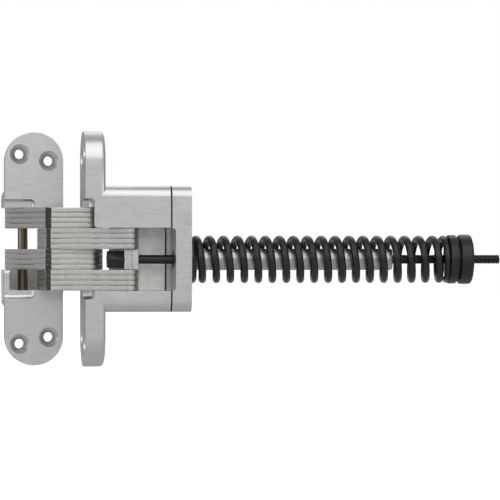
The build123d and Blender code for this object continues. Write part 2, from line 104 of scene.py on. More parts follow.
class Bench:
    """Short calls to Blender's own modelling tools, used as by hand."""

    @staticmethod
    def only(piece: bpy.types.Object) -> None:
        """Deselects everything, then selects a piece and makes it the active one.

        Args:
            piece: The object to select.
        """
        bpy.ops.object.select_all(action="DESELECT")
        piece.select_set(True)
        bpy.context.view_layer.objects.active = piece

    @staticmethod
    @contextmanager
    def editing(piece: bpy.types.Object) -> Iterator[None]:
        """Opens a piece in edit mode with all of it selected, and closes it again.

        Args:
            piece: The mesh object to edit.
        """
        Bench.only(piece)
        bpy.ops.object.mode_set(mode="EDIT")
        bpy.ops.mesh.select_all(action="SELECT")
        yield
        bpy.ops.object.mode_set(mode="OBJECT")

    @staticmethod
    def apply_modifiers(piece: bpy.types.Object) -> None:
        """Applies every modifier of a piece, in order.

        Args:
            piece: The mesh object to finish.
        """
        Bench.only(piece)
        for modifier in list(piece.modifiers):
            bpy.ops.object.modifier_apply(modifier=modifier.name)

    @staticmethod
    def apply_place(piece: bpy.types.Object) -> None:
        """Moves a piece's place into its mesh, so that its object sits at the origin."""
        Bench.only(piece)
        bpy.ops.object.transform_apply(location=True, rotation=True, scale=True)

    @staticmethod
    def smooth(piece: bpy.types.Object, angle_deg: float = 32.0) -> None:
        """Shades a piece smooth. Large faces decide the normals, so flat faces shade flat.

        Args:
            piece: The mesh object to shade.
            angle_deg: Edges that turn by more than this angle stay sharp.
        """
        Bench.only(piece)
        bpy.ops.object.shade_smooth_by_angle(angle=radians(angle_deg))
        weigh = piece.modifiers.new("weigh_normals", "WEIGHTED_NORMAL")
        weigh.keep_sharp = True
        weigh.weight = 100
        Bench.apply_modifiers(piece)

    @staticmethod
    def new_object(name: str, data: bpy.types.ID) -> bpy.types.Object:
        """Puts a mesh, a lamp or a camera into the scene.

        Args:
            name: The new object's name.
            data: What the object holds.

        Returns:
            The new object.
        """
        thing = bpy.data.objects.new(name, data)
        bpy.context.scene.collection.objects.link(thing)
        return thing

    @staticmethod
    def join(pieces: Sequence[bpy.types.Object]) -> bpy.types.Object:
        """Joins several pieces into the first one.

        Args:
            pieces: The mesh objects to join.

        Returns:
            The first object, which then holds them all.
        """
        Bench.only(pieces[0])
        for piece in pieces[1:]:
            piece.select_set(True)
        bpy.ops.object.join()
        return pieces[0]

    @staticmethod
    def round_edges(piece: bpy.types.Object, width: float, angle_deg: float, segments: int) -> None:
        """Rounds the sharp edges of a piece with the bevel modifier.

        Args:
            piece: The mesh object to round.
            width: The bevel's width.
            angle_deg: Edges that turn by more than this angle are rounded.
            segments: Facets across each round.
        """
        bevel = piece.modifiers.new("edge_round", "BEVEL")
        bevel.limit_method = "ANGLE"
        bevel.angle_limit = radians(angle_deg)
        bevel.width = width
        bevel.segments = segments
        bevel.use_clamp_overlap = True
        bevel.miter_outer = "MITER_ARC"
        Bench.apply_modifiers(piece)

    @staticmethod
    def round_where(
        piece: bpy.types.Object, width: float, segments: int, test: Callable[[Vector, Vector], bool]
    ) -> None:
        """Rounds the edges of a piece that pass a test.

        Args:
            piece: The mesh object to round.
            width: The round's width.
            segments: Facets across each round.
            test: Takes an edge's two ends, and says whether the edge is rounded.
        """
        Bench.only(piece)
        bpy.ops.object.mode_set(mode="EDIT")
        bpy.ops.mesh.select_mode(type="EDGE")
        bpy.ops.mesh.select_all(action="DESELECT")
        bpy.ops.object.mode_set(mode="OBJECT")
        places = piece.data.vertices
        for edge in piece.data.edges:
            edge.select = test(*(places[index].co for index in edge.vertices))
        bpy.ops.object.mode_set(mode="EDIT")
        bpy.ops.mesh.bevel(offset=width, segments=segments, affect="EDGES", clamp_overlap=True)
        bpy.ops.object.mode_set(mode="OBJECT")

    @staticmethod
    def block(low: Sequence[float], high: Sequence[float]) -> bpy.types.Object:
        """Makes a box between two corners.

        Args:
            low: The lowest corner.
            high: The highest corner.

        Returns:
            The box.
        """
        low, high = Vector(low), Vector(high)
        bpy.ops.object.select_all(action="DESELECT")
        bpy.ops.mesh.primitive_cube_add(size=1, location=(low + high) / 2)
        box = bpy.context.active_object
        box.scale = high - low
        Bench.apply_place(box)
        return box

    @staticmethod
    def prism(outline: Sequence[Vector], low: float, high: float) -> bpy.types.Object:
        """Raises an outline in plan to a solid between two heights.

        Args:
            outline: The corners in plan, in order.
            low: The height of the solid's lower face.
            high: The height of its upper face.

        Returns:
            The solid.
        """
        mesh = bpy.data.meshes.new("prism")
        mesh.from_pydata([(p.x, p.y, low) for p in outline], [], [range(len(outline))])
        solid = Bench.new_object("prism", mesh)
        with Bench.editing(solid):
            bpy.ops.mesh.extrude_region_move(TRANSFORM_OT_translate={"value": (0, 0, high - low)})
            bpy.ops.mesh.select_all(action="SELECT")
            bpy.ops.mesh.normals_make_consistent(inside=False)
        return solid

    @staticmethod
    def combine(piece: bpy.types.Object, tool: bpy.types.Object, operation: str) -> None:
        """Unites a piece with a tool or cuts the tool out of it, and deletes the tool.

        Args:
            piece: The mesh object that stays.
            tool: The mesh object that is used up.
            operation: UNION or DIFFERENCE.
        """
        boolean = piece.modifiers.new("combine", "BOOLEAN")
        boolean.operation = operation
        boolean.solver = "EXACT"
        boolean.object = tool
        Bench.apply_modifiers(piece)
        bpy.data.objects.remove(tool)
        with Bench.editing(piece):
            bpy.ops.mesh.dissolve_limited(angle_limit=FLAT_ANGLE)

    @staticmethod
    def cut(piece: bpy.types.Object, place: Vector, normal: Vector) -> None:
        """Cuts a piece by a plane, keeps what lies against the normal and fills a clean cut.

        Args:
            piece: The mesh object to cut.
            place: A point on the plane.
            normal: The plane's normal, pointing at what is cut away.
        """
        with Bench.editing(piece):
            bpy.ops.mesh.bisect(plane_co=place, plane_no=normal, use_fill=True, clear_outer=True)


class ShaderSheet:
    """A material's node tree, with short calls that add and join nodes."""

    def __init__(self, name: str) -> None:
        """Starts an empty material with a metal-ready surface shader.

        Args:
            name: The material's name.
        """
        self.material = bpy.data.materials.new(name)
        self.material.use_nodes = True
        self.nodes = self.material.node_tree.nodes
        self.links = self.material.node_tree.links
        self.surface = self.nodes["Principled BSDF"]

    def add(self, kind: str, **settings: Any) -> bpy.types.Node:
        """Adds a node.

        Args:
            kind: The node's type name, without the ShaderNode prefix.
            **settings: Properties to set on the node.

        Returns:
            The new node.
        """
        node = self.nodes.new("ShaderNode" + kind)
        for name, value in settings.items():
            setattr(node, name, value)
        return node

    def join(self, source: bpy.types.NodeSocket, target: bpy.types.NodeSocket) -> None:
        """Joins an output socket to an input socket."""
        self.links.new(source, target)

    def feed(self, name: str, source: bpy.types.NodeSocket) -> None:
        """Joins an output socket to one of the surface's inputs."""
        self.join(source, self.surface.inputs[name])

    def fix(self, name: str, value: Any) -> None:
        """Sets one of the surface's inputs to a plain value."""
        self.surface.inputs[name].default_value = value

    def stretched(self, scale: Sequence[float]) -> bpy.types.NodeSocket:
        """Gives object coordinates, scaled along each axis.

        Args:
            scale: The scale along X, Y and Z.

        Returns:
            The coordinates' socket.
        """
        place = self.add("TexCoord")
        mapping = self.add("Mapping")
        mapping.inputs["Scale"].default_value = scale
        self.join(place.outputs["Object"], mapping.inputs["Vector"])
        return mapping.outputs["Vector"]

    def noise(
        self, size_mm: float, scale: Sequence[float] = (1, 1, 1), detail: float = 3
    ) -> bpy.types.NodeSocket:
        """Gives a noise value from 0 to 1.

        Args:
            size_mm: The size of the pattern's features.
            scale: How the pattern is stretched along each axis.
            detail: How many finer layers are added.

        Returns:
            The value's socket.
        """
        texture = self.add("TexNoise")
        texture.inputs["Scale"].default_value = 1 / (size_mm * MM)
        texture.inputs["Detail"].default_value = detail
        self.join(self.stretched(scale), texture.inputs["Vector"])
        return texture.outputs["Fac"]

    def ramp(
        self, value: bpy.types.NodeSocket, stops: Sequence[tuple[float, Sequence[float]]]
    ) -> bpy.types.NodeSocket:
        """Turns a value into a colour.

        Args:
            value: The socket to read.
            stops: Places from 0 to 1, each with its colour.

        Returns:
            The colour's socket.
        """
        node = self.add("ValToRGB")
        elements = node.color_ramp.elements
        while len(elements) < len(stops):
            elements.new(0.5)
        for element, (place, colour) in zip(elements, stops):
            element.position = place
            element.color = (*colour, 1)
        self.join(value, node.inputs["Fac"])
        return node.outputs["Color"]

    def span(self, value: bpy.types.NodeSocket, low: float, high: float) -> bpy.types.NodeSocket:
        """Maps a value from 0 to 1 onto another span.

        Args:
            value: The socket to read.
            low: The result at 0.
            high: The result at 1.

        Returns:
            The mapped value's socket.
        """
        node = self.add("MapRange")
        node.inputs["To Min"].default_value = low
        node.inputs["To Max"].default_value = high
        self.join(value, node.inputs["Value"])
        return node.outputs["Result"]

    def mix(self, share: bpy.types.NodeSocket, first: Any, second: Any) -> bpy.types.NodeSocket:
        """Mixes two colours by a value.

        Args:
            share: The share of the second colour.
            first: A colour socket, or red, green and blue.
            second: A colour socket, or red, green and blue.

        Returns:
            The mixed colour's socket.
        """
        node = self.add("Mix", data_type="RGBA")
        self.join(share, node.inputs["Factor"])
        for socket, colour in ((node.inputs[6], first), (node.inputs[7], second)):
            if isinstance(colour, bpy.types.NodeSocket):
                self.join(colour, socket)
            else:
                socket.default_value = (*colour, 1)
        return node.outputs[2]

    def bump(self, height: bpy.types.NodeSocket, depth_mm: float, strength: float = 1.0) -> None:
        """Raises the surface by a height pattern, over any bump that is already there.

        Args:
            height: The height's socket, from 0 to 1.
            depth_mm: The height of the pattern.
            strength: The share of the pattern that shows.
        """
        node = self.add("Bump")
        node.inputs["Distance"].default_value = depth_mm * MM
        node.inputs["Strength"].default_value = strength
        self.join(height, node.inputs["Height"])
        normal = self.surface.inputs["Normal"]
        if normal.is_linked:
            self.join(normal.links[0].from_socket, node.inputs["Normal"])
        self.join(node.outputs["Normal"], normal)


@dataclass(frozen=True)
class Finish:
    """What all the metal finishes share."""

    name: str
    colour: tuple[float, float, float]
    roughness: float = 0.3
    metallic: float = 1.0

    def sheet(self) -> ShaderSheet:
        """Starts the finish's material with its plain values.

        Returns:
            The material's node tree.
        """
        sheet = ShaderSheet(self.name)
        sheet.fix("Metallic", self.metallic)
        sheet.fix("Roughness", self.roughness)
        sheet.fix("Base Color", (*self.colour, 1))
        return sheet

    def tint(self, factor: float) -> tuple[float, float, float]:
        """Gives the finish's colour, lighter or darker by a factor."""
        red, green, blue = self.colour
        return (red * factor, green * factor, blue * factor)

    def shade(
        self,
        sheet: ShaderSheet,
        value: bpy.types.NodeSocket,
        dark: float,
        light: float,
        reach: float = 0.2,
    ) -> bpy.types.NodeSocket:
        """Lets the finish's colour follow a pattern, from a darker to a lighter tint.

        Args:
            sheet: The material's node tree.
            value: The pattern's socket, from 0 to 1.
            dark: The factor of the tint where the pattern is low.
            light: The factor of the tint where it is high.
            reach: How far from the pattern's middle both tints are reached.

        Returns:
            The colour's socket.
        """
        return sheet.ramp(value, ((0.5 - reach, self.tint(dark)), (0.5 + reach, self.tint(light))))

    def roughen(
        self, sheet: ShaderSheet, value: bpy.types.NodeSocket, smoother: float, rougher: float
    ) -> None:
        """Lets the finish's roughness follow a pattern.

        Args:
            sheet: The material's node tree.
            value: The pattern's socket, from 0 to 1.
            smoother: What the roughness loses where the pattern is 0.
            rougher: What it gains where the pattern is 1.
        """
        sheet.feed("Roughness", sheet.span(value, self.roughness - smoother, self.roughness + rougher))

    def material(self) -> bpy.types.Material:
        """Builds the finish's material."""
        return self.sheet().material


@dataclass(frozen=True)
class BrushedNickel(Finish):
    """Satin nickel plate over a casting that was brushed with a belt."""

    grain_mm: float = 0.55
    grain_depth_mm: float = 0.012
    cloud_mm: float = 14.0
    streak_share: tuple[float, float] = (0.35, 0.65)
    direction: BrushDirection = BrushDirection.ALONG_X

    def material(self) -> bpy.types.Material:
        """Builds the plated, brushed metal.

        Returns:
            The material.
        """
        sheet = self.sheet()
        grain = sheet.noise(self.grain_mm, self.direction.value, detail=6)
        cloud = sheet.noise(self.cloud_mm, detail=2)
        worn = self.shade(sheet, cloud, 0.94, 1.04)
        streaked = self.shade(sheet, grain, 0.74, 1.12)
        sheet.feed("Base Color", sheet.mix(sheet.span(grain, *self.streak_share), worn, streaked))
        self.roughen(sheet, grain, 0.08, 0.1)
        sheet.bump(grain, self.grain_depth_mm)
        return sheet.material


@dataclass(frozen=True)
class RawCasting(Finish):
    """The unbrushed faces of a casting: matt, grainy and a little darker in places."""

    grain_mm: float = 0.7
    grain_depth_mm: float = 0.05
    cloud_mm: float = 6.0

    def material(self) -> bpy.types.Material:
        """Builds the raw cast metal.

        Returns:
            The material.
        """
        sheet = self.sheet()
        grain = sheet.noise(self.grain_mm, detail=6)
        cloud = sheet.noise(self.cloud_mm, detail=3)
        sheet.feed("Base Color", self.shade(sheet, cloud, 0.82, 1.08))
        self.roughen(sheet, cloud, 0.1, 0.12)
        sheet.bump(grain, self.grain_depth_mm)
        return sheet.material


@dataclass(frozen=True)
class StampedSteel(Finish):
    """A stack of stamped plates: each edge is burnished at one side and torn at the other."""

    pitch_mm: float = 3.09
    torn_share: float = 0.3
    torn_edge: tuple[float, float] = (-0.06, 0.08)
    grain_mm: float = 0.35
    grain_depth_mm: float = 0.02
    smear_mm: float = 2.2

    def material(self) -> bpy.types.Material:
        """Builds the stamped steel, whose bands follow the plates' pitch along Z.

        Returns:
            The material.
        """
        sheet = self.sheet()
        split = sheet.add("SeparateXYZ")
        sheet.join(sheet.stretched((1 / (self.pitch_mm * MM),) * 3), split.inputs["Vector"])
        turns = sheet.add("Math", operation="FRACT")
        sheet.join(split.outputs["Z"], turns.inputs[0])
        start, end = (self.torn_share + shift for shift in self.torn_edge)
        band = sheet.ramp(turns.outputs["Value"], ((start, (0.0,) * 3), (end, (1.0,) * 3)))
        shear = sheet.noise(self.grain_mm, (1, 1, 0.12), detail=4)
        smear = sheet.noise(self.smear_mm, (1, 1, 0.5), detail=2)
        burnished = self.shade(sheet, smear, 0.9, 1.06, reach=0.25)
        torn = self.shade(sheet, shear, 0.62, 0.92, reach=0.3)
        sheet.feed("Base Color", sheet.mix(band, torn, burnished))
        self.roughen(sheet, shear, 0.06, 0.14)
        sheet.bump(shear, self.grain_depth_mm, strength=0.7)
        return sheet.material


@dataclass(frozen=True)
class TurnedMetal(Finish):
    """Metal turned or drawn round one axis, with fine lines across or along it."""

    line_mm: float = 0.3
    line_depth_mm: float = 0.008
    direction: BrushDirection = BrushDirection.ALONG_X
    cloud_mm: float = 5.0
    stain: float = 0.1

    def material(self) -> bpy.types.Material:
        """Builds the turned or drawn metal.

        Returns:
            The material.
        """
        sheet = self.sheet()
        lines = sheet.noise(self.line_mm, self.direction.value, detail=3)
        cloud = sheet.noise(self.cloud_mm, detail=2)
        sheet.feed("Base Color", self.shade(sheet, cloud, 1 - self.stain, 1 + self.stain))
        self.roughen(sheet, lines, 0.05, 0.08)
        sheet.bump(lines, self.line_depth_mm)
        return sheet.material


@dataclass(frozen=True)
class BlackOxide(Finish):
    """Blackened steel with an oiled sheen and a slightly mottled surface."""

    mottle_mm: float = 0.8
    mottle_depth_mm: float = 0.012
    cloud_mm: float = 9.0
    sheen: float = 0.4

    def material(self) -> bpy.types.Material:
        """Builds the blackened steel.

        Returns:
            The material.
        """
        sheet = self.sheet()
        mottle = sheet.noise(self.mottle_mm, detail=5)
        cloud = sheet.noise(self.cloud_mm, detail=2)
        sheet.feed("Base Color", self.shade(sheet, cloud, 0.8, 1.25))
        self.roughen(sheet, mottle, 0.07, 0.1)
        sheet.fix("Specular IOR Level", self.sheen)
        sheet.bump(mottle, self.mottle_depth_mm)
        return sheet.material


class Finishes:
    """The finishes of the whole hinge, each built once."""

    def __init__(self) -> None:
        """Builds every material."""
        nickel = (0.57, 0.56, 0.56)
        self.plate_nickel = BrushedNickel("satin_nickel_plate", nickel, 0.34).material()
        # Partly painted light: the unbrushed faces have a real raw finish, but its colour is raised well
        # above the plate's to make up for the shade inside the channel.
        self.raw_casting_lightened = RawCasting("raw_casting_lightened", (0.84, 0.835, 0.81), 0.5).material()
        self.link_steel = StampedSteel("stamped_link_steel", (0.55, 0.54, 0.52), 0.32).material()
        self.pin_steel = TurnedMetal("ground_pin_steel", (0.6, 0.59, 0.57), 0.25).material()
        self.trunnion_steel = TurnedMetal(
            "trunnion_steel", (0.51, 0.495, 0.485), 0.38, direction=BrushDirection.ALONG_Z
        ).material()
        self.bronze = TurnedMetal(
            "bronze_slide_pin", (0.17, 0.145, 0.105), 0.2, direction=BrushDirection.ALONG_Z
        ).material()
        self.tube_steel = TurnedMetal("drawn_tube_steel", (0.42, 0.41, 0.4), 0.3).material()
        self.spring_black = BlackOxide("spring_black", (0.006, 0.0063, 0.008), 0.24, 0.0).material()
        self.rod_black = BlackOxide("rod_black", (0.006, 0.0052, 0.0048), 0.36, 0.0).material()
        # Painted shade: a flat dark colour for the nick of the link plates and the cap's seam groove,
        # standing in for the shadow there.
        self.painted_nick_and_seam_shade = Finish("painted_nick_and_seam_shade", (0.018, 0.012, 0.01), 0.6, 0.0).material()
        self.screw_black = BlackOxide("screw_black", (0.016, 0.0155, 0.0155), 0.34, 0.0).material()


def solid_copy(node: str, name: str) -> bpy.types.Object:
    """Copies a node of the frame as one clean closed mesh with large flat faces.

    Args:
        node: The frame's node to copy.
        name: The new piece's name.

    Returns:
        The new piece, at the same place.
    """
    source = bpy.data.objects[node]
    piece = Bench.new_object(name, source.data.copy())
    piece.data.materials.clear()
    with Bench.editing(piece):
        bpy.ops.mesh.remove_doubles(threshold=MERGE_GAP)
        bpy.ops.mesh.customdata_custom_splitnormals_clear()
        bpy.ops.mesh.dissolve_limited(angle_limit=FLAT_ANGLE)
    return piece


def centre_of(node: str) -> Vector:
    """Gives the middle of a node's box in the frame."""
    low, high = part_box(node)
    return (Vector(low) + Vector(high)) / 2


def half_turn() -> Matrix:
    """Gives the half turn that brings the jamb's side of the hinge onto the door's side.

    Returns:
        The turn as a matrix, which also brings the door's side onto the jamb's.
    """
    corner = Vector((centre_of("door_pivot_pin").x - centre_of("jamb_pivot_pin").y, 0, 0))
    turn = Matrix.Rotation(pi, 4, Vector((1, 1, 0)).normalized())
    return Matrix.Translation(corner) @ turn @ Matrix.Translation(-corner)


def rounded_corner(
    before: Vector, corner: Vector, after: Vector, radius: float, steps: int = 8
) -> list[Vector]:
    """Works out the points of a round between two straight sides, in plan.

    Args:
        before: The point before the corner.
        corner: The corner.
        after: The point after the corner.
        radius: The round's radius.
        steps: How many facets the round has.

    Returns:
        The round's points, from the first side to the second.
    """
    first = (before - corner).normalized()
    second = (after - corner).normalized()
    half_angle = first.angle(second) / 2
    centre = corner + (first + second).normalized() * (radius / sin(half_angle))
    start = corner + first * (radius / tan(half_angle)) - centre
    end = corner + second * (radius / tan(half_angle)) - centre
    points = []
    for step in range(steps + 1):
        share = step / steps
        points.append(centre + start.lerp(end, share).normalized() * radius)
    return points


def paint(piece: bpy.types.Object, *materials: bpy.types.Material) -> None:
    """Gives a piece its materials, the first of them on every face.

    Args:
        piece: The mesh object to paint.
        *materials: The materials, in the order of their slots.
    """
    piece.data.materials.clear()
    for material in materials:
        piece.data.materials.append(material)
    for face in piece.data.polygons:
        face.material_index = 0


def paint_where(piece: bpy.types.Object, slot_index: int, test: Callable[[Vector], bool]) -> None:
    """Gives another of a piece's materials to the faces that pass a test.

    Args:
        piece: The mesh object to paint.
        slot_index: The material's place in the piece's list.
        test: Takes a face's centre, and says whether the face is painted.
    """
    for face in piece.data.polygons:
        if test(Vector(face.center)):
            face.material_index = slot_index


@dataclass
class Leaf:
    """One cast leaf: a round-ended plate with ears and a hollow body behind it."""

    node: str
    body: Body
    depth_axis: int
    edge_round: float = 0.35 * MM
    channel_half_height: float = 25.1 * MM
    face_skin: float = 0.6 * MM
    side_skin: float = 0.4 * MM
    relief_depth: float = 5.4 * MM
    relief_floor_round: float = 2.4 * MM
    side_wall_round: float = 1.8 * MM
    side_wall_outside: float = -17.46 * MM
    side_wall_inside: float = -14.46 * MM
    side_wall_edge: float = -12.51 * MM
    taper_start: float = 14.6 * MM
    body_end: float = 54.0 * MM
    end_wall_start: float = 50.6 * MM
    side_taper: float = 4.0 * MM
    side_shift: float = 2.2 * MM
    side_wall_corner: float = 2.2 * MM
    open_side_start: float = -9.5 * MM
    end_wall_reach: float = 15.16 * MM
    relief_near_height: float = 24.8 * MM
    relief_far_height: float = 25.5 * MM

    def build(self, finishes: Finishes) -> bpy.types.Object:
        """Models the leaf with rounded edges and brushes its outer faces.

        Args:
            finishes: The hinge's materials.

        Returns:
            The finished leaf.
        """
        low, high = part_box(self.node)
        piece = solid_copy(self.node, self.node + "_casting")
        if self.body is Body.DOOR:
            piece.data.transform(half_turn())
            self.reshape(piece)
            piece.data.transform(half_turn())
        else:
            self.straighten_side(piece)
            self.reshape(piece)
            self.close_last_row(piece)
        Bench.round_edges(piece, self.edge_round, angle_deg=36, segments=3)
        paint(piece, finishes.plate_nickel, finishes.raw_casting_lightened)
        # The channel and the body's back and drawn-in sides take the lightened raw casting colour,
        # painted light that lifts the shaded channel.
        paint_where(piece, 1, lambda centre: self.is_inside(centre, low, high))
        Bench.smooth(piece)
        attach(piece, self.body.value)
        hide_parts(self.node)
        return piece

    def reshape(self, piece: bpy.types.Object) -> None:
        """Rounds the relief's floor and brings the side wall forward to the relief.

        Args:
            piece: The leaf, as it stands in the jamb.
        """
        Bench.round_where(piece, self.relief_floor_round, segments=6, test=self.is_relief_floor)
        for vertex in piece.data.vertices:
            if abs(vertex.co.x - self.side_wall_outside) < TOUCH:
                vertex.co.x = self.side_wall_outside
        slope = 0.0
        if self.body is Body.JAMB:
            slope = (self.side_taper - self.side_shift) / (self.body_end - self.taper_start)
        reach = self.taper_start + self.side_wall_corner
        drift = slope * self.side_wall_corner
        outline = [
            Vector((self.side_wall_outside, self.relief_depth)),
            Vector((self.side_wall_inside, self.relief_depth)),
            Vector((self.side_wall_inside, self.taper_start)),
            Vector((self.side_wall_inside + drift, reach)),
            Vector((self.side_wall_outside + drift, reach)),
            Vector((self.side_wall_outside, self.taper_start)),
        ]
        wall = Bench.prism(outline, -self.channel_half_height, self.side_wall_edge)
        lead = Vector((self.relief_depth, self.side_wall_edge))
        Bench.round_where(
            wall, self.side_wall_round, segments=5,
            test=lambda a, b: max(*map(abs, a.yz - lead), *map(abs, b.yz - lead)) < TOUCH,
        )
        Bench.combine(piece, wall, "UNION")

    def is_relief_floor(self, first: Vector, second: Vector) -> bool:
        """Says whether an edge lies where the relief's floor meets its walls.

        Args:
            first: One end of the edge.
            second: Its other end.

        Returns:
            True for an edge at the floor's end, but not for one in the leaf's side face.
        """
        on_floor = all(abs(end.y - self.relief_depth) < 2 * TOUCH for end in (first, second))
        near, far = sorted((abs(first.z), abs(second.z)))
        at_end = near > self.relief_near_height and far > self.relief_far_height
        at_side = max(first.x, second.x) < self.side_wall_outside + 10 * TOUCH
        return on_floor and at_end and not at_side

    def straighten_side(self, piece: bpy.types.Object) -> None:
        """Takes part of the taper out of the leaf's open side.

        Args:
            piece: The leaf to change.
        """
        length = self.body_end - self.taper_start
        for vertex in piece.data.vertices:
            if vertex.co.x < self.open_side_start and vertex.co.y > self.taper_start:
                vertex.co.x -= self.side_shift * (vertex.co.y - self.taper_start) / length

    def close_last_row(self, piece: bpy.types.Object) -> None:
        """Closes the end of the channel behind the last row of links.

        Args:
            piece: The leaf to change.
        """
        wall = Bench.block(
            (self.side_wall_inside, self.end_wall_start, -self.channel_half_height),
            (self.end_wall_reach, self.body_end - TOUCH, self.side_wall_edge),
        )
        Bench.combine(piece, wall, "UNION")

    def is_inside(self, centre: Vector, low: Vector, high: Vector) -> bool:
        """Says whether a face is unbrushed: the channel, and the body's back and drawn-in sides.

        Args:
            centre: The face's centre.
            low: The leaf's lowest corner.
            high: The leaf's highest corner.

        Returns:
            True for a face behind the plate's skin that lies in from the leaf's sides.
        """
        across_axis = 1 - self.depth_axis
        behind_face = centre[self.depth_axis] > low[self.depth_axis] + self.face_skin
        in_height = abs(centre.z) < self.channel_half_height
        across = centre[across_axis]
        inner = low[across_axis] + self.side_skin < across < high[across_axis] - self.side_skin
        return behind_face and in_height and inner


@dataclass
class EndCap:
    """The cap that closes the door leaf, with its screws and the guide tube."""

    edge_round: float = 0.5 * MM
    seam_width: float = 0.9 * MM
    seam_depth: float = 0.6 * MM
    screw_round: float = 0.25 * MM
    tube_round: float = 0.2 * MM
    frame_recess_depth: float = 6.04 * MM
    recess_depth: float = 3.0 * MM
    recess_bottom: float = -24.87 * MM
    recess_top: float = 12.36 * MM
    recess_inside: float = -13.8 * MM
    recess_round: float = 2.0 * MM
    fill_overlap: float = 0.1 * MM
    rod_bore_radius: float = 5.55 * MM
    corner_radius: float = 6.5 * MM
    corner_reach: float = 6.6 * MM

    def open_seam(self, cap: bpy.types.Object) -> None:
        """Draws in the cap's rim where it meets the leaf, which leaves a narrow groove.

        Args:
            cap: The cap to change.
        """
        low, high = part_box("end_cap")
        face = low[0]
        with Bench.editing(cap):
            bpy.ops.mesh.bisect(plane_co=(face + self.seam_width, 0, 0), plane_no=(1, 0, 0))
        middle = centre_of("end_cap")
        half_width, half_height = (high[1] - low[1]) / 2, (high[2] - low[2]) / 2
        for vertex in cap.data.vertices:
            across, up = vertex.co.y - middle.y, vertex.co.z - middle.z
            at_corner = abs(up) > half_height - self.corner_reach
            on_rim = abs(across) > half_width - TOUCH or at_corner
            on_face = vertex.co.x < face + TOUCH
            if on_face and on_rim and self.is_outer(across, up, half_width, half_height):
                vertex.co.y -= self.seam_depth * across / half_width
                if at_corner:
                    vertex.co.z -= self.seam_depth * up / half_height

    def is_outer(self, across: float, up: float, half_width: float, half_height: float) -> bool:
        """Says whether a point lies on the cap's rounded outline.

        Args:
            across: The point's place across the cap, from its middle.
            up: Its place in height, from the middle.
            half_width: Half the cap's width.
            half_height: Half the cap's height.

        Returns:
            True for a point of the outline.
        """
        radius = self.corner_radius
        beyond_side = max(abs(across) - half_width + radius, 0)
        beyond_top = max(abs(up) - half_height + radius, 0)
        return abs(Vector((beyond_side, beyond_top)).length - radius) < 5 * TOUCH

    def reshape_recess(self, cap: bpy.types.Object) -> None:
        """Fills the cap's recess and cuts the shallower one of the real cap.

        Args:
            cap: The cap to change.
        """
        low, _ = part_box("end_cap")
        face, near = low[0], low[1]
        spare = self.fill_overlap
        fill = Bench.block(
            (face, near, self.recess_bottom - spare),
            (face + self.frame_recess_depth, self.recess_inside + spare, -self.recess_bottom + spare),
        )
        Bench.combine(cap, fill, "UNION")
        floor = face + self.recess_depth
        recess = Bench.block(
            (face - MM, near - MM, self.recess_bottom), (floor, self.recess_inside, self.recess_top)
        )
        Bench.round_where(
            recess, self.recess_round, segments=5,
            test=lambda a, b: min(a.x, b.x) > floor - TOUCH and abs(a.z - b.z) < TOUCH,
        )
        Bench.combine(cap, recess, "DIFFERENCE")
        tube = centre_of("guide_tube")
        bpy.ops.object.select_all(action="DESELECT")
        bpy.ops.mesh.primitive_cylinder_add(
            vertices=64, radius=self.rod_bore_radius, depth=self.frame_recess_depth + 2 * MM,
            location=(face + self.frame_recess_depth / 2, tube.y, tube.z), rotation=(0, pi / 2, 0),
        )
        bore = bpy.context.active_object
        Bench.apply_place(bore)
        Bench.combine(cap, bore, "DIFFERENCE")

    def build(self, finishes: Finishes) -> list[bpy.types.Object]:
        """Models the cap, its four screws and the tube.

        Args:
            finishes: The hinge's materials.

        Returns:
            The finished pieces.
        """
        cap = solid_copy("end_cap", "end_cap_casting")
        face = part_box("end_cap")[0][0]
        self.reshape_recess(cap)
        self.open_seam(cap)
        Bench.round_edges(cap, self.edge_round, angle_deg=36, segments=3)
        paint(cap, finishes.plate_nickel, finishes.painted_nick_and_seam_shade)
        # Painted shade: the seam's faces take a dark colour, standing in for the shadow in the narrow
        # groove.
        paint_where(cap, 1, lambda centre: centre.x < face + self.seam_width)
        screws = solid_copy("cap_screws", "cap_socket_screws")
        Bench.round_edges(screws, self.screw_round, angle_deg=40, segments=2)
        paint(screws, finishes.screw_black)
        tube = solid_copy("guide_tube", "guide_tube_drawn")
        Bench.round_edges(tube, self.tube_round, angle_deg=40, segments=2)
        paint(tube, finishes.tube_steel)
        for piece, node, slot in (
            (cap, "end_cap", "casting"),
            (screws, "cap_screws", "cap_screw_steel"),
            (tube, "guide_tube", "tube_steel"),
        ):
            Bench.smooth(piece)
            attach(piece, Body.DOOR.value)
            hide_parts(node)
        return [cap, screws, tube]


